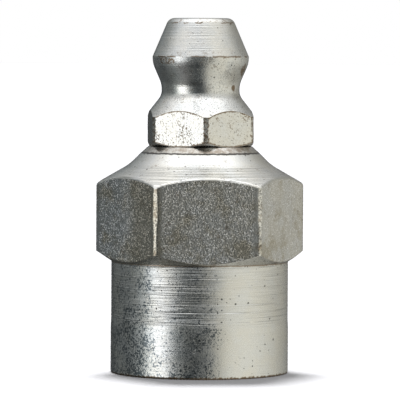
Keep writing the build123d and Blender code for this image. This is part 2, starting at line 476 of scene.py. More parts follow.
def finished(name, bm):
    """A closed piece, smooth but for its sharp edges."""
    bmesh.ops.remove_doubles(bm, verts=bm.verts, dist=WELD)
    open_edges = [edge for edge in bm.edges if not edge.is_manifold]
    if open_edges:
        raise RuntimeError(f"{name} isn't closed: {len(open_edges)} edges")
    bmesh.ops.recalc_face_normals(bm, faces=bm.faces)
    piece = placed(name, bm)
    piece.data.shade_smooth()
    piece.data.set_sharp_from_angle(angle=SHARP)
    return piece


def faces_in(centre, normal):
    """Whether a face looks at the axis, or straight up or down."""
    return normal.x * centre.x + normal.y * centre.y <= 0


def on_wall(centre, normal, flat):
    """Whether a face belongs to a hexagon's wall."""
    return abs(normal.z) < 0.2 and off_axis(centre) > flat - 0.02 * MM


# ---------------------------------------------------------------- finishes


def arithmetic(operation, swapped=False):
    """A method of Value that does this sum with another number."""

    def method(self, other):
        return self.math(operation, *((other, self) if swapped else (self, other)))
    return method


class Value:
    """A number in a shader, which can be written in sums."""

    __add__ = __radd__ = arithmetic("ADD")
    __sub__ = arithmetic("SUBTRACT")
    __rsub__ = arithmetic("SUBTRACT", swapped=True)
    __mul__ = __rmul__ = arithmetic("MULTIPLY")
    __pow__ = arithmetic("POWER")
    most = arithmetic("MAXIMUM")
    least = arithmetic("MINIMUM")

    def __init__(self, finish, socket):
        self.finish = finish
        self.socket = socket

    def math(self, operation, *values):
        inputs = dict(enumerate(values))
        return self.finish.node("ShaderNodeMath", {"operation": operation}, inputs)

    def far(self):
        return self.math("ABSOLUTE", self)

    def rise(self, low, high):
        """0 below low, 1 above high, smooth between. It falls where low is above high."""
        return self.finish.node(
            "ShaderNodeMapRange", {"interpolation_type": "SMOOTHSTEP"},
            {"Value": self, "From Min": low, "From Max": high},
        )


class Finish:
    """A material in the making. Its patterns are in millimetres, on the object's coordinates."""

    def __init__(self, name):
        self.material = bpy.data.materials.new(name)
        self.material.use_nodes = True
        self.tree = self.material.node_tree
        self.tree.nodes.clear()
        here = self.node("ShaderNodeTexCoord", out="Object")
        self.here = self.vector("SCALE", here, scale=1 / MM)
        self.x, self.y, self.z = self.parts(self.here)
        self.radius = (self.x * self.x + self.y * self.y) ** 0.5
        self.looks = sizes_of("finishes")

    def node(self, kind, settings=None, values=None, out=0):
        node = self.tree.nodes.new(kind)
        for name, setting in (settings or {}).items():
            setattr(node, name, setting)
        for key, value in (values or {}).items():
            if isinstance(value, Value):
                self.tree.links.new(value.socket, node.inputs[key])
            else:
                node.inputs[key].default_value = value
        return Value(self, node.outputs[out]) if node.outputs else None

    def vector(self, operation, *values, scale=None, out=0):
        inputs = dict(enumerate(values))
        if scale is not None:
            inputs["Scale"] = scale
        return self.node("ShaderNodeVectorMath", {"operation": operation}, inputs, out)

    def parts(self, vector):
        node = self.node("ShaderNodeSeparateXYZ", values={0: vector}).socket.node
        return [Value(self, socket) for socket in node.outputs]

    def mix(self, share, first, second):
        """Two colours mixed."""
        return self.node(
            "ShaderNodeMix", {"data_type": "RGBA"},
            {0: share, 6: rgba(first), 7: rgba(second)}, out=2,
        )

    def over(self, colour, *layers):
        """A colour under layers, each a share and the colour that it adds."""
        for share, above in layers:
            colour = self.mix(share, colour, above)
        return colour

    def moved(self, seed, stretch=(1, 1, 1)):
        """The place, stretched along the axes and moved to another part of a pattern."""
        offset = (seed * 7.31, seed * -3.17, seed * 5.73)
        return self.vector("MULTIPLY_ADD", self.here, stretch, offset)

    def noise(self, size, seed, detail=3.0, roughness=0.6, stretch=(1, 1, 1)):
        """Clouds of about this size, around a half."""
        return self.node(
            "ShaderNodeTexNoise", {"noise_dimensions": "3D"},
            {
                "Vector": self.moved(seed, stretch), "Scale": 0.5 / size,
                "Detail": detail, "Roughness": roughness,
            },
        )

    def specks(self, spacing, share, size, seed, ragged=0.25):
        """Scattered ragged specks: 1 inside one, 0 outside. Size is in spacings."""
        cells = self.node(
            "ShaderNodeTexVoronoi", {"feature": "F1"},
            {"Vector": self.moved(seed), "Scale": 1 / spacing},
        ).socket.node.outputs
        distance = Value(self, cells["Distance"])
        chance, other, _ = self.parts(Value(self, cells["Color"]))
        uneven = self.noise(spacing * 0.35, seed + 40, roughness=0.5) - 0.5
        reach = (other * 0.6 + 0.4) * size
        inside = (distance + uneven * ragged * 2).rise(reach, reach * 0.6)
        return inside * chance.rise(share, share - 0.02)

    def rings(self, spacing, seed, drift=0.12, detail=2.0):
        """Lines that a turning tool leaves, round the axis and along every profile."""
        x, y = self.x * drift, self.y * drift
        fine = 0.5 / spacing
        across = self.node(
            "ShaderNodeCombineXYZ", values={0: x, 1: y, 2: self.radius * fine + seed},
        )
        return self.node(
            "ShaderNodeTexNoise", {"noise_dimensions": "4D"},
            {
                "Vector": across, "W": self.z * fine + seed * 3.7, "Scale": 1.0,
                "Detail": detail, "Roughness": 0.55,
            },
        )

    def blob(self, place, size, seed=0, ragged=0.6):
        """A stain with a cloudy outline about a place: 1 inside, 0 outside."""
        away = self.vector("SUBTRACT", self.here, place)
        distance = self.vector("LENGTH", self.vector("DIVIDE", away, size), out="Value")
        cloud = self.noise(0.25, seed + 60, detail=4.0) - 0.5
        return (distance + cloud * ragged * 2).rise(1.0, 0.55)

    def near(self, name):
        """How near the surface is to an edge or an arc, as the mesh notes it."""
        return self.node("ShaderNodeAttribute", {"attribute_name": name}, out="Fac")

    def end(self, surface):
        """Ends the finish with this surface."""
        self.node("ShaderNodeOutputMaterial", values={"Surface": surface})
        return self.material

    def steel(self, colour, roughness, height, metallic=1.0):
        """Ends the finish: metal with this colour and roughness, and a height in millimetres."""
        bump = self.node(
            "ShaderNodeBump", values={"Strength": 1.0, "Distance": MM, "Height": height},
        )
        return self.end(self.node(
            "ShaderNodeBsdfPrincipled",
            values={
                "Base Color": rgba(colour), "Metallic": metallic,
                "Roughness": roughness, "Normal": bump,
            },
        ))


def rgba(colour):
    """A colour with alpha, unless it is a link."""
    return colour if isinstance(colour, Value) else (*colour, 1.0)


def dress(piece, zone, materials):
    """Gives a piece its finishes, one for each zone of its faces."""
    for material in materials:
        piece.data.materials.append(material)
    for face in piece.data.polygons:
        face.material_index = zone(face.center, face.normal)


def zinc(finish, seed):
    """Worn zinc plate: its cloudy colour, before a zone adds its own marks."""
    clouds = finish.noise(0.9, seed, detail=4.0)
    looks = finish.looks
    return finish.mix(clouds.rise(0.35, 0.65), looks.zinc, looks.zinc_warm)


def turning(finish, seed, fine, coarse):
    """What the turning tool left, as fine and coarse lines of these depths in millimetres."""
    close = finish.rings(0.045, seed) - 0.5
    wide = finish.rings(0.15, seed + 1, drift=0.07, detail=1.0) - 0.5
    return (close * fine + wide * coarse) * finish.looks.lines


def bright_spots(finish, seed, bare, covered, gather=0.5):
    """Where the dull top of the plate is gone and bright metal shows, in clusters."""
    clusters = finish.noise(0.42, seed, roughness=0.55)
    fine = finish.noise(0.048, seed + 1)
    return (fine + (clusters - 0.5) * gather).rise(covered, bare)


def rusty(finish, seed, size, share, specks=0.6):
    """Rust that gathers in clusters of fine ragged specks, each cluster of about this size."""
    clusters = finish.noise(size, seed)
    fine = finish.noise(0.06, seed + 1, roughness=0.65)
    return (clusters * (1 - specks) + fine * specks).rise(share, share + 0.06)


def sleeve_finish():
    finish = Finish("sleeve_zinc")
    looks = finish.looks
    wavy = finish.noise(0.3, 2, detail=2.0, roughness=0.5) - 0.5
    band = (finish.z + wavy * 0.2).rise(3.2, 3.7)
    lines = turning(finish, 4, 0.015, 0.008) * (1 + band * 3.0)
    streaks = finish.rings(0.030, 9, drift=0.5, detail=3.0) - 0.5
    grain = finish.noise(0.05, 3) - 0.5
    spots = bright_spots(finish, 5, bare=0.55, covered=0.51, gather=0.42) * (1 - band * 0.3)
    pits = finish.specks(0.30, 0.30, 0.24, 8)
    uneven = finish.noise(0.10, 7, detail=4.0, roughness=0.5) - 0.5
    # partly rust, partly painted shade: the rim's bottom edge, which faces the floor, is darkened
    # in rust colour
    rim = (finish.z + uneven * 0.35).rise(0.17, 0.08)
    joint = (finish.z + uneven * 0.12 - 7.48).far().rise(0.05, 0.02)
    # painted light: the right of the front, which mirrors the bright panels, gets fewer dark
    # flecks, less film and fewer dark lines, and the left, which mirrors the dark ones, has the
    # most flecks
    painted_lit_side = finish.x.rise(0.5, 1.5) * finish.y.rise(1.0, -1.0)
    left = finish.x.rise(-3.2, -4.0) * finish.y.rise(1.0, -1.0)
    crowd = finish.noise(0.5, 10) - 0.5 + left * 0.18 - painted_lit_side * 0.35 - band * 0.12
    flecks = finish.noise(0.066, 91, detail=4.0, roughness=0.65) + crowd * 0.42
    flecks = flecks.rise(0.560, 0.582)
    # painted shade and dirt: thin dark lines along the band's turning lines, in the fleck colour
    line_shade_and_dirt = finish.rings(0.040, 94, drift=0.25, detail=3.0).rise(0.44, 0.34)
    line_shade_and_dirt = line_shade_and_dirt * band * (1 - painted_lit_side * 0.85)
    colour = finish.over(
        zinc(finish, 1),
        (spots * (1 - painted_lit_side * 0.7) * 0.25, looks.film),
        (flecks * 0.9, looks.fleck_and_line_shade),
        (line_shade_and_dirt * 0.35, looks.fleck_and_line_shade),
        (rim * 0.9, looks.rust_and_shade),
        (pits * 0.8, looks.grime),
        (joint * 0.8, looks.rust_and_shade),
    )
    height = lines + streaks * 0.009 + grain * 0.007 * looks.grain - pits * 0.012 - rim * 0.004
    roughness = 0.29 - spots.most(flecks) * 0.21 + rim * 0.2 + pits * 0.2
    return finish.steel(colour, roughness, height)


def hexagon_finish():
    finish = Finish("hexagon_zinc")
    looks = finish.looks
    edge = finish.near("edge")
    ragged = finish.noise(0.13, 12, detail=4.0) - 0.5
    plain = 0.25 + 0.75 * (edge + ragged * 0.2).rise(0.66, 0.48)
    strip = (edge + ragged * 0.06).rise(0.82, 0.86)
    grain = finish.noise(0.050, 13, detail=1.5, stretch=(1, 1, 0.85))
    lumps = finish.noise(0.09, 14, detail=2.0, roughness=0.5) - 0.5
    dots = finish.specks(0.105, 0.64, 0.46, 92, ragged=0.12)
    sparkle = (dots + (grain + lumps * 0.2).rise(0.54, 0.68) * 0.4).least(1.0)
    patchy = finish.noise(0.8, 93, detail=4.0).rise(0.46, 0.66)
    hollow = (grain + lumps * 0.25).rise(0.46, 0.36)
    # a bluish and a brown place on the flat at the left
    left = finish.x.rise(-2.9, -3.3) * finish.y.rise(0.4, -0.4)
    along = finish.x * 0.5 - finish.y * 0.866 + ragged * 1.2
    stain = rusty(finish, 16, 0.35, 0.57, specks=0.4)
    marks = (
        finish.blob((2.6, -5.26, 10.68), (0.28, 0.28, 0.24), 17)
        + finish.blob((2.4, -5.26, 12.57), (0.30, 0.30, 0.22), 18)
        + finish.blob((3.05, -5.26, 11.1), (0.13, 0.13, 0.14), 19, ragged=0.3) * 1.5
    ).least(1.0)
    worn = strip * (ragged + 0.5).rise(0.50, 0.62)
    chips = finish.noise(0.055, 95).rise(0.50, 0.56) * strip
    line = (finish.near("arc") + ragged * 0.2).rise(0.86, 0.95) * (1 - strip)
    colour = finish.over(
        zinc(finish, 11),
        (left * along.rise(0.4, -1.0) * 0.35, looks.film),
        (left * along.rise(-0.2, 1.6) * 0.7, looks.olive_and_shade),
        (patchy * 0.75, looks.olive_and_shade),
        (hollow * 0.35 * plain, looks.olive_and_shade),
        ((stain * 0.45 + marks * 0.5).least(0.7) * looks.stains, looks.rust_and_shade),
        (worn * 0.45, looks.rust_and_shade),
        (chips * 0.65, looks.grime),
        (line * 0.35, looks.rust_and_shade),
    )
    height = ((grain - 0.5) * 0.012 + lumps * 0.010) * plain * looks.grain
    roughness = 0.17 + (sparkle * 0.40 + worn * 0.2) * plain + strip * 0.08
    metallic = 1 - sparkle * plain * (0.41 + left * 0.22)
    return finish.steel(colour, roughness, height, metallic)


def nose_finish():
    finish = Finish("nose_zinc")
    looks = finish.looks
    lines = turning(finish, 22, 0.050, 0.035) * (0.25 + 0.75 * finish.z.rise(14.1, 13.9))
    grain = finish.noise(0.05, 23, roughness=0.5) - 0.5
    spots = bright_spots(finish, 24, bare=0.62, covered=0.50)
    pits = finish.specks(0.35, 0.25, 0.24, 25)
    stain = rusty(finish, 28, 0.4, 0.57, specks=0.5)
    ragged = finish.noise(0.16, 26, detail=4.0, roughness=0.5) - 0.5
    collar = (finish.z + ragged * 0.14 - 14.80).far().rise(0.07, 0.03)
    above = (finish.z + ragged * 0.35).rise(14.70, 14.90)
    blotch = finish.noise(0.35, 27, detail=5.0, roughness=0.65)
    # painted shade: the lower chamfer under the large hexagon is darkened, with olive on its left
    # and rust blotches
    under = finish.z.rise(9.4, 8.9)
    colour = finish.over(
        zinc(finish, 21),
        (above * (0.25 + 0.45 * blotch.rise(0.4, 0.6)), looks.rust_and_shade),
        (under * finish.x.rise(1.0, -1.0) * 0.55, looks.olive_and_shade),
        (under * blotch.rise(0.5, 0.65) * 0.5, looks.rust_and_shade),
        (stain * 0.4 * looks.stains, looks.rust_and_shade),
        (collar * 0.9, looks.grime),
        (pits * 0.7, looks.grime),
    )
    height = lines + grain * 0.005 - pits * 0.008 - collar * 0.01
    return finish.steel(colour, 0.27 - spots * 0.15, height)


def head_finish():
    finish = Finish("head_zinc")
    looks = finish.looks
    lines = turning(finish, 32, 0.016, 0.018)
    grain = finish.noise(0.045, 33) - 0.5
    spots = bright_spots(finish, 34, bare=0.60, covered=0.50)
    pits = finish.specks(0.28, 0.35, 0.22, 35)
    stain = rusty(finish, 36, 0.3, 0.575, specks=0.5)
    ragged = finish.noise(0.16, 37, detail=4.0) - 0.5
    gaps = finish.noise(0.28, 38, roughness=0.5)
    land = (finish.z + ragged * 0.16 - 21.25).far().rise(0.07, 0.03) * gaps.rise(0.42, 0.50)
    crown = (finish.z + ragged * 0.3 - 23.50).far().rise(0.06, 0.02) * gaps.rise(0.54, 0.48)
    top = finish.z.rise(23.45, 23.6) * rusty(finish, 39, 0.25, 0.53, specks=0.5)
    marks = (
        finish.blob((2.77, -1.35, 20.35), (0.35, 0.55, 0.60), 41)
        * finish.noise(0.10, 44).rise(0.36, 0.44)
        + finish.blob((2.05, -1.62, 19.15), (0.24, 0.24, 0.24), 42)
        + finish.blob((-2.45, -2.10, 21.00), (0.85, 0.85, 0.36), 40)
        * finish.noise(0.08, 43).rise(0.47, 0.52)
    ).least(1.0)
    stained = (stain * 0.45 + (land + crown) * 0.75 + top * 0.6 + marks * 0.9).least(0.9)
    neck = (finish.z - 18.95).far().rise(0.9, 0.4)
    dull = (finish.z + ragged * 0.1 - 21.0).far().rise(0.45, 0.15)
    lower = finish.z.rise(21.3, 21.2)
    crowd = finish.noise(0.4, 46, roughness=0.5) - 0.5
    flecks = (finish.noise(0.045, 45) + crowd * 0.5).rise(0.56, 0.60) * lower
    colour = finish.over(
        zinc(finish, 31),
        (spots * 0.2, looks.film),
        (flecks * 0.36, looks.grime),
        (stained * looks.stains, looks.rust_and_shade),
        (pits * 0.75, looks.grime),
    )
    height = lines * (1 - lower * 0.5) + grain * 0.009 * looks.grain
    height = height - pits * 0.010 - stained * 0.004
    roughness = 0.22 - spots * 0.10 - neck * (0.09 - spots * 0.04) + stained * 0.15 + dull * 0.10
    return finish.steel(colour, roughness, height)


def small_hexagon_finish():
    finish = Finish("small_hexagon_zinc")
    looks = finish.looks
    grain = finish.noise(0.045, 43, detail=2.0) - 0.5
    coarse = finish.noise(0.11, 44, detail=2.0, roughness=0.5) - 0.5
    ragged = finish.noise(0.12, 47, detail=4.0, roughness=0.65) - 0.5
    pits = finish.specks(0.13, 0.45, 0.30, 45)
    stain = rusty(finish, 46, 0.42, 0.560, specks=0.62)
    mottle = finish.noise(0.06, 48).rise(0.42, 0.60)
    strip = (finish.near("edge") + ragged * 0.16).rise(0.78, 0.86)
    line = (finish.near("arc") + ragged * 0.6).rise(0.76, 0.92)
    worn = strip * (ragged + 0.5).rise(0.44, 0.54)
    stained = (stain * 0.75 + line * 0.85 + worn * 0.8).least(0.85)
    colour = finish.over(
        zinc(finish, 41),
        (mottle * 0.22, looks.olive_and_shade),
        (stained * looks.stains, looks.rust_and_shade),
        (pits * 0.6, looks.grime),
    )
    height = (grain * 0.010 + coarse * 0.010) * looks.grain - pits * 0.010 - stained * 0.004
    return finish.steel(colour, 0.18 + stained * 0.25, height)


def bore_finish():
    finish = Finish("bore_zinc")
    looks = finish.looks
    lines = finish.rings(0.04, 52) * looks.lines
    grime = finish.noise(0.6, 53, detail=5.0).rise(0.45, 0.7)
    colour = finish.over(zinc(finish, 51), (grime * 0.6, looks.rust_and_shade))
    return finish.steel(colour, 0.2 + grime * 0.2, lines * 0.006)


def ball_finish():
    finish = Finish("ball_steel")
    haze = finish.noise(0.3, 61, roughness=0.5)
    return finish.steel(finish.looks.ball, 0.05 + haze * 0.06, haze * 0.0004)


def wire_finish():
    finish = Finish("spring_wire_steel")
    looks = finish.looks
    draw = finish.noise(0.03, 71, roughness=0.5)
    haze = finish.noise(0.4, 72, roughness=0.5)
    colour = finish.mix(haze * 0.5, looks.wire, looks.rust_and_shade)
    return finish.steel(colour, 0.22 + haze * 0.1, draw * 0.002)


# ---------------------------------------------------------------- adapter

# deep turning grooves: height above the rim in millimetres, and share of the full depth
GROOVES = (
    (3.745, 1.3), (4.01, 1.0), (4.40, 1.0), (4.73, 0.6), (4.94, 0.8), (5.25, 0.5), (5.45, 0.6),
    (5.65, 0.4), (5.82, 0.6), (6.04, 1.0), (6.24, 0.6), (6.47, 0.6), (6.70, 0.6), (6.94, 0.5),
    (7.12, 0.5), (7.36, 1.2),
)
# how worn each upright edge is, going round from the +X side
EDGE_WEAR = (0.25, 0.9, 1.1, 0.25, 1.0, 0.9)


def flat_ends(sizes):
    """Heights of the foot and the top of the large hexagon at the middle of a flat."""
    flat = sizes.flats / 2
    foot = sizes.sleeve_length + (flat - sizes.band_radius) * math.tan(sizes.lower_chamfer)
    top = sizes.nose_foot - (flat - sizes.nose_foot_radius) * math.tan(sizes.upper_chamfer)
    return foot, top


def adapter_outside(sizes):
    """From the rim, up the outside and into the tapped hole's countersink."""
    flat = sizes.flats / 2
    foot, top = flat_ends(sizes)
    band_foot = sizes.sleeve_length - sizes.band_length
    band, groove_floor = sizes.band_radius, sizes.band_radius - sizes.groove_depth
    rail = Rail()
    rail.turned(rounded([
        (sizes.mouth_radius + 0.1 * MM, 0),
        (sizes.sleeve_radius, 0, sizes.rim_round),
        (sizes.sleeve_radius, band_foot - 0.5 * MM),
    ])[:-1])
    rail.turned([(sizes.sleeve_radius, band_foot * part / 8) for part in range(2, 7)])
    rail.turned([
        (sizes.sleeve_radius, band_foot - 0.45 * MM),
        ((sizes.sleeve_radius + band) / 2, band_foot - 0.20 * MM),
        (band, band_foot + 0.05 * MM),
    ])
    half, guard = sizes.groove_width / 2, 0.01 * MM
    for height, _ in GROOVES:
        middle = height * MM
        rail.turned([
            (band, middle - half - guard),
            (band, middle - half),
            (groove_floor, middle),
            (band, middle + half),
            (band, middle + half + guard),
        ])
    rail.turned([
        (band, sizes.sleeve_length - 0.03 * MM),
        (band + 0.005 * MM, sizes.sleeve_length),
    ])
    rail.wall(sizes, foot, top)
    nose_rise = (sizes.nose_foot_radius - sizes.collar_radius) * math.tan(sizes.nose_slope)
    tapped = sizes_of("nipple").thread_major + sizes_of("nipple").thread_gap
    rail.turned(rounded([
        (flat - 0.3 * MM, top + 0.3 * MM * math.tan(sizes.upper_chamfer)),
        (sizes.nose_foot_radius, sizes.nose_foot, 3.0 * MM),
        (sizes.collar_radius, sizes.nose_foot + nose_rise, 0.1 * MM),
        (sizes.land_radius, ADAPTER_TOP, 0.04 * MM),
        (tapped + 0.06 * MM, ADAPTER_TOP),
        (tapped + 0.03 * MM, ADAPTER_TOP - 0.03 * MM),
    ])[1:])
    return rail


def vary_grooves(bm, sizes):
    """Makes each groove deeper and shallower along its way round."""
    floor = sizes.band_radius - sizes.groove_depth
    for vert in bm.verts:
        radius = off_axis(vert.co)
        if abs(radius - floor) > 0.002 * MM:
            continue
        for height, share in GROOVES:
            if abs(vert.co.z - height * MM) < 0.001 * MM:
                here = Vector((vert.co.x / MM * 0.5, vert.co.y / MM * 0.5, height * 9))
                uneven = clamp(0.85 + 1.3 * noise.noise(here), 0.15, 1.6)
                scale = (sizes.band_radius - sizes.groove_depth * share * uneven) / radius
                vert.co.x *= scale
                vert.co.y *= scale


def make_adapter():
    sizes = sizes_of("adapter")
    nipple = sizes_of("nipple")
    foot, top = flat_ends(sizes)
    outside = adapter_outside(sizes)
    shell = turned_shell(outside, sizes.columns)
    vary_grooves(shell, sizes)
    trim_to_hexagon(shell, sizes, foot, top, wear=EDGE_WEAR)

    # the drill's cone lies between the two threads
    tapped_minor = nipple.thread_minor + nipple.thread_gap
    tapped_major = nipple.thread_major + nipple.thread_gap
    rise = math.tan(sizes.drill_slope)
    cone_top = sizes.bore_depth + (sizes.thread_minor - tapped_minor) * rise
    inset = 0.05 * MM
    cone = Rail()
    cone.turned([
        (sizes.thread_minor - inset, sizes.bore_depth + inset * rise),
        ((sizes.thread_minor + tapped_minor) / 2, (sizes.bore_depth + cone_top) / 2),
        (tapped_minor + inset, cone_top - inset * rise),
    ])

    def female_limit(height):
        least = max(sizes.mouth_radius - height, sizes.thread_minor)
        left = clamp((sizes.bore_depth - height) / RUNOUT)
        greatest = sizes.thread_minor + (sizes.thread_major - sizes.thread_minor) * left
        return least, max(greatest, least)

    female = thread_shell(
        sizes.thread_minor, sizes.thread_major, sizes.thread_pitch,
        0.0, sizes.bore_depth, FEMALE_COLUMNS, female_limit,
    )
    tapped_top = outside.points[-1][1] - 0.01 * MM

    def tapped_limit(height):
        grown = clamp((height - cone_top) / RUNOUT)
        greatest = tapped_minor + (tapped_major - tapped_minor) * grown
        least = clamp(tapped_major - (tapped_top - height), tapped_minor, tapped_major)
        return least, max(greatest, least)

    tapped = thread_shell(
        tapped_minor, tapped_major, nipple.thread_pitch,
        cone_top, tapped_top, MALE_COLUMNS, tapped_limit,
    )
    bm = joined([shell, turned_shell(cone, FEMALE_COLUMNS), female, tapped])
    close_rings(bm, (0.0, sizes.bore_depth, cone_top, tapped_top), 0.06 * MM)
    piece = finished("adapter_turned", bm)
    sleeve, wall, nose, bore = range(4)

    def zone(centre, normal):
        inside = off_axis(centre) < sizes.mouth_radius + 0.01 * MM
        if inside and centre.z < tapped_top + 0.02 * MM and faces_in(centre, normal):
            return bore
        if centre.z < sizes.sleeve_length + 0.004 * MM:
            return sleeve
        return wall if on_wall(centre, normal, sizes.flats / 2) else nose

    dress(piece, zone, [sleeve_finish(), hexagon_finish(), nose_finish(), bore_finish()])
    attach(piece, "root")
    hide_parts("adapter")
    return piece


# ---------------------------------------------------------------- nipple body


def make_nipple_body():
    sizes = sizes_of("nipple")
    flat = sizes.flats / 2
    seat = ADAPTER_TOP
    shank_end = seat - sizes.shank_length
    foot = seat + (flat - sizes.seat_radius) * math.tan(sizes.lower_chamfer)
    top = seat + sizes.hexagon_height
    thread_top = seat - sizes.relief_length
    thread_low = shank_end + 0.02 * MM
    rail = Rail()
    rail.turned([
        (sizes.relief_radius, thread_top + 0.02 * MM),
        (sizes.relief_radius, seat - 0.1 * MM),
        (sizes.relief_radius + 0.1 * MM, seat),
        (sizes.seat_radius - 0.03 * MM, seat),
        (sizes.seat_radius, seat + 0.005 * MM),
    ])
    rail.wall(sizes, foot, top)
    neck = Vector((sizes.neck_radius, sizes.neck_foot))
    corner = Vector((flat, top))
    rail.turned(rounded([
        tuple(corner + (neck - corner).normalized() * 0.08 * MM),
        (sizes.neck_radius, sizes.neck_foot, sizes.neck_foot_round),
        (sizes.neck_radius, sizes.neck_top, sizes.neck_top_round),
        (sizes.land_radius, sizes.land_foot, sizes.land_round),
        (sizes.land_radius, sizes.land_top, sizes.land_edge),
        (sizes.crown_radius, CROWN, sizes.crown_round),
        (sizes.lip_radius, CROWN, sizes.lip_round),
        (sizes.seat_opening, sizes.seat_opening_height, 0.05 * MM),
        (sizes.bore_radius, sizes.seat_foot),
        (sizes.bore_radius, sizes.step),
        (sizes.hole_radius, sizes.step),
        (sizes.hole_radius, shank_end + sizes.hole_chamfer),
        (sizes.hole_radius + sizes.hole_chamfer, shank_end),
        (sizes.thread_minor - 0.15 * MM, shank_end),
        (sizes.thread_minor - 0.08 * MM, thread_low - 0.01 * MM),
    ], steps=8))
    shell = turned_shell(rail, sizes.columns)
    trim_to_hexagon(shell, sizes, foot, top, sizes.turn)
    shallow = sizes.relief_radius - 0.03 * MM

    def male_limit(height):
        opened = shallow - 0.02 * MM + height - thread_low
        left = clamp((thread_top - height) / MALE_RUNOUT)
        return 0, min(opened, shallow + (sizes.thread_major - shallow) * left)

    male = thread_shell(
        sizes.thread_minor, sizes.thread_major, sizes.thread_pitch,
        thread_low, thread_top, MALE_COLUMNS, male_limit,
    )
    bm = joined([shell, male])
    close_rings(bm, (thread_low, thread_top), 0.04 * MM)
    piece = finished("nipple_turned", bm)
    head, wall, bore = range(3)

    def zone(centre, normal):
        inside = off_axis(centre) < sizes.lip_radius and faces_in(centre, normal)
        if centre.z < seat - 0.01 * MM or inside:
            return bore
        return wall if on_wall(centre, normal, flat) and centre.z < top else head

    dress(piece, zone, [head_finish(), small_hexagon_finish(), bore_finish()])
    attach(piece, "root")
    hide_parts("nipple_body")
    return piece


# ---------------------------------------------------------------- valve


def make_check_ball():
    sizes = sizes_of("valve")
    bm = bmesh.new()
    bmesh.ops.create_uvsphere(
        bm, u_segments=sizes.ball_columns, v_segments=sizes.ball_rings,
        radius=(BALL_HIGH.z - BALL_LOW.z) / 2,
    )
    bmesh.ops.translate(bm, verts=bm.verts, vec=(BALL_LOW + BALL_HIGH) / 2)
    piece = finished("check_ball_polished", bm)
    piece.data.materials.append(ball_finish())
    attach(piece, "valve_ball")
    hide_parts("check_ball")
    return piece


def make_ball_spring():
    """Round wire, wound with one closed turn at each end."""
    sizes = sizes_of("valve")
    bm = bmesh.new()
    ring = bmesh.ops.create_circle(bm, segments=sizes.wire_sides, radius=sizes.wire, cap_ends=True)
    start = SPRING_LOW.z + sizes.wire
    for vert in ring["verts"]:
        vert.co = (sizes.coil_radius + vert.co.x, 0, start + vert.co.y)
    rise = SPRING_HIGH.z - sizes.wire - start
    closed = (1, sizes.closed_pitch)
    active = (sizes.active_turns, (rise - 2 * sizes.closed_pitch) / sizes.active_turns)
    geom = everything(bm)
    for turns, pitch in (closed, active, closed):
        made = spin(bm, geom, turns * math.tau, turns * sizes.steps, rise=pitch / sizes.steps)
        geom = made["geom_last"]
    piece = finished("ball_spring_wound", bm)
    piece.data.materials.append(wire_finish())
    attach(piece, "root")
    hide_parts("ball_spring")
    sizes_of("nipple").step
    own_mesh(piece)
    return piece


# ---------------------------------------------------------------- studio


def make_studio():
    studio = sizes_of("studio")
    scene = bpy.context.scene
    scene.view_settings.view_transform = "Standard"
    camera_data = bpy.data.cameras.new("camera")
    camera = bpy.data.objects.new("camera", camera_data)
    scene.collection.objects.link(camera)
    camera.location = (
        studio.camera_distance * math.sin(studio.camera_turn),
        -studio.camera_distance * math.cos(studio.camera_turn),
        studio.camera_height,
    )
    aim = Vector((0, 0, studio.aim_height)) - camera.location
    straight = aim.to_track_quat("-Z", "Y")
    camera.rotation_euler = (straight @ Quaternion((0, 0, 1), studio.camera_roll)).to_euler()
    camera_data.sensor_width = 36
    camera_data.lens = camera_data.sensor_width * studio.camera_distance / studio.framed
    camera_data.clip_start = 0.01
    camera_data.clip_end = 10
    scene.camera = camera

    make_world(scene)
    make_shadow_lamp(scene, studio, make_floor(studio))
    make_tent(studio)


# the tent's panels: how bright each band is, at each angle in degrees to the right of the camera
BELOW = (
    (-180, 0.06), (-136, 0.06), (-110, 0.12), (-98, 0.20), (-68, 0.25), (-40, 0.16), (-11, 0.15),
    (8, 0.22), (17, 0.52), (30, 0.78), (44, 0.84), (73, 0.84), (103, 0.59), (143, 0.27),
    (180, 0.10),
)
NEAR = (
    (-180, 0.07), (-136, 0.08), (-98, 0.16), (-68, 0.34), (-50, 0.30), (-36, 0.13), (-25, 0.09),
    (-14, 0.08), (3, 0.08), (9, 0.16), (17, 0.50), (30, 0.88), (44, 0.98), (73, 0.96),
    (103, 0.59), (143, 0.30), (180, 0.12),
)
LEVEL = (
    (-180, 0.06), (-160, 0.10), (-134, 0.18), (-110, 0.17), (-92, 0.25), (-80, 0.46),
    (-72, 0.88), (-65, 2.12), (-46, 2.18), (-40, 0.98), (-33, 0.45), (-25, 0.21), (-14, 0.115),
    (4, 0.115), (10, 0.18), (17, 0.42), (23, 0.62), (34, 0.90), (46, 1.04), (60, 1.10),
    (73, 1.06), (88, 0.98), (106, 0.82), (128, 0.58), (150, 0.40), (180, 0.10),
)
LOW = (
    (-180, 0.40), (-126, 0.30), (-110, 0.30), (-85, 0.38), (-75, 0.70), (-66, 1.75),
    (-42, 1.80), (-33, 0.70), (-22, 0.15), (0, 0.10), (12, 0.25), (25, 0.75), (46, 1.00),
    (73, 1.00), (95, 0.85), (112, 0.60), (126, 0.42), (150, 0.35), (180, 0.40),
)
MIDDLE = (
    (-180, 0.52), (-118, 0.48), (-104, 0.52), (-90, 0.70), (-72, 1.00), (-38, 1.05),
    (-15, 0.60), (0, 0.48), (15, 0.60), (38, 1.05), (60, 1.05), (95, 0.80), (108, 0.60),
    (126, 0.48), (150, 0.50), (180, 0.52),
)
HIGH = (
    (-180, 0.85), (-140, 0.90), (-110, 0.95), (-72, 1.05), (-38, 1.10), (0, 0.92), (38, 1.10),
    (72, 1.05), (110, 0.90), (140, 0.85), (180, 0.85),
)
UPPER = ((-180, 1.15), (-90, 1.30), (0, 1.20), (90, 1.30), (180, 1.15))
CEILING = ((60, 1.80), (70, 1.98), (89, 2.05))
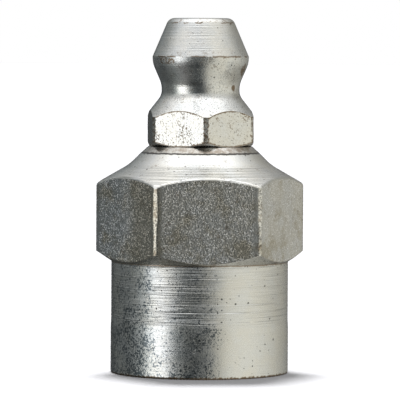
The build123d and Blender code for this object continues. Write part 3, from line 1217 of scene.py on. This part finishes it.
# which band each height above the floor has, in degrees. Those of the ceiling are plain
TENT = (
    (-89, BELOW), (-50, BELOW), (-38, NEAR), (-20, NEAR), (-10, LEVEL), (6, LEVEL), (18, LOW),
    (30, MIDDLE), (43, HIGH), (52, UPPER),
    *((height, ((-180, level), (180, level))) for height, level in CEILING),
)
# where the panels are warm or cool, by angle and by height, and how much less red, green and blue
# they have there
WARM_SIDE = ((-180, 0), (5, 0), (25, 1), (150, 1), (180, 0))
WARM_BAND = ((-90, 1), (15, 1), (40, 0.35), (60, 0.1), (90, 0))
WARM_LOSS = (0.0, 0.02, 0.12)
COOL_SIDE = ((-180, 1), (-75, 1), (-60, 0), (-45, 0), (-25, 1), (5, 1), (20, 0), (180, 0))
COOL_BAND = ((-90, 1), (15, 1), (40, 0), (90, 0))
COOL_LOSS = (0.08, 0.01, 0.01)


def between(stops, place):
    """The value at a place in a list of (place, value), in straight steps."""
    for (low, first), (high, second) in zip(stops, stops[1:]):
        if place <= high:
            return first + (second - first) * (place - low) / (high - low)
    return stops[-1][1]


def make_tent(studio):
    """A round light tent with grey and lit panels. Only the metal shows it."""
    away = 0.6
    columns = 120
    row_height = 4
    bm = bmesh.new()
    level = bm.verts.layers.float_color.new("level")
    rows = []
    for (low, _), (high, _) in zip(TENT, TENT[1:]):
        steps = max(1, round((high - low) / row_height))
        rows += [low + (high - low) * step / steps for step in range(steps)]
    tilts = [math.radians(row) for row in (*rows, TENT[-1][0])]
    verts, edges = strung(bm, [(away * math.cos(tilt), away * math.sin(tilt)) for tilt in tilts])
    spin(bm, verts + edges, math.tau, columns, closed=True)
    for vert in bm.verts:
        turn = math.atan2(vert.co.y, vert.co.x) + math.pi / 2 - studio.camera_turn
        turn = math.degrees((turn + math.pi) % math.tau - math.pi)
        tilt = math.degrees(math.asin(vert.co.z / away))
        bright = between([(height, between(stops, turn)) for height, stops in TENT], tilt)
        bright *= studio.tent_level
        warm = between(WARM_SIDE, turn) * between(WARM_BAND, tilt)
        cool = between(COOL_SIDE, turn) * between(COOL_BAND, tilt)
        losses = zip(WARM_LOSS, COOL_LOSS)
        vert[level] = (*(bright * (1 - w * warm - c * cool) for w, c in losses), 1)
    tent = placed("light_tent", bm)
    finish = Finish("tent_panels")
    panels = finish.node("ShaderNodeAttribute", {"attribute_name": "level"}, out="Color")
    glow = finish.node("ShaderNodeEmission", values={"Color": panels, "Strength": 1.0})
    tent.data.materials.append(finish.end(glow))
    tent.visible_camera = False
    tent.visible_diffuse = False
    tent.visible_shadow = False
    tent.visible_transmission = False


def make_world(scene):
    """A white room: plain soft light, and white wherever the room itself is seen."""
    scene.world = bpy.data.worlds.new("studio")
    scene.world.use_nodes = True
    background = scene.world.node_tree.nodes["Background"]
    background.inputs["Color"].default_value = (1, 1, 1, 1)
    background.inputs["Strength"].default_value = 1.0


def make_floor(studio):
    reach = 3.0
    bm = bmesh.new()
    bmesh.ops.create_grid(bm, x_segments=1, y_segments=1, size=reach)
    floor = placed("floor", bm)
    finish = Finish("floor_white")
    floor.data.materials.append(finish.end(finish.node(
        "ShaderNodeBsdfPrincipled",
        values={"Base Color": rgba(studio.floor), "Roughness": 1.0, "Specular IOR Level": 0.0},
    )))
    floor.visible_glossy = False
    return floor


def make_shadow_lamp(scene, studio, floor):
    """A wide lamp high behind the piece, for a shadow in front. It lights only the floor."""
    data = bpy.data.lights.new("shadow_lamp", "SUN")
    data.energy = studio.lamp_power
    data.angle = studio.lamp_width
    lamp = bpy.data.objects.new("shadow_lamp", data)
    scene.collection.objects.link(lamp)
    lamp.rotation_euler = (studio.lamp_tilt, 0, studio.lamp_turn)
    lit = bpy.data.collections.new("lit_by_shadow_lamp")
    lit.objects.link(floor)
    lamp.light_linking.receiver_collection = lit


# ---------------------------------------------------------------- add-on


def sizes_of(group):
    return getattr(bpy.context.scene, "nipple_" + group)


class NIPPLE_OT_adapter(Operator):
    """Make the hexagonal adapter with its sleeve and threads"""

    bl_idname = "nipple.adapter"
    bl_label = "Make adapter"

    def execute(self, context):
        make_adapter()
        return {"FINISHED"}


class NIPPLE_OT_nipple_body(Operator):
    """Make the nipple body with its hexagon, neck and head"""

    bl_idname = "nipple.nipple_body"
    bl_label = "Make nipple body"

    def execute(self, context):
        make_nipple_body()
        return {"FINISHED"}


class NIPPLE_OT_valve(Operator):
    """Make the check ball and its spring"""

    bl_idname = "nipple.valve"
    bl_label = "Make ball and spring"

    def execute(self, context):
        make_check_ball()
        make_ball_spring()
        return {"FINISHED"}


class NIPPLE_OT_studio(Operator):
    """Make the floor, light tent, lamp and camera"""

    bl_idname = "nipple.studio"
    bl_label = "Make studio"

    def execute(self, context):
        make_studio()
        return {"FINISHED"}


class NIPPLE_PT_panel(Panel):
    """Lists the pieces in the 3D view's sidebar"""

    bl_label = "Grease nipple"
    bl_space_type = "VIEW_3D"
    bl_region_type = "UI"
    bl_category = "Nipple"

    def draw(self, context):
        for operator in OPERATORS:
            self.layout.operator(operator.bl_idname)


OPERATORS = (NIPPLE_OT_adapter, NIPPLE_OT_nipple_body, NIPPLE_OT_valve, NIPPLE_OT_studio)
GROUPS = {
    "adapter": AdapterSizes,
    "nipple": NippleSizes,
    "valve": ValveSizes,
    "finishes": Finishes,
    "studio": Studio,
}
CLASSES = (*GROUPS.values(), *OPERATORS, NIPPLE_PT_panel)


def register():
    for item in CLASSES:
        bpy.utils.register_class(item)
    for name, group in GROUPS.items():
        setattr(bpy.types.Scene, "nipple_" + name, PointerProperty(type=group))


def unregister():
    for name in GROUPS:
        delattr(bpy.types.Scene, "nipple_" + name)
    for item in reversed(CLASSES):
        bpy.utils.unregister_class(item)


def main():
    register()
    bpy.ops.nipple.adapter()
    bpy.ops.nipple.nipple_body()
    bpy.ops.nipple.valve()
    bpy.ops.nipple.studio()


if __name__ == "__main__":
    main()
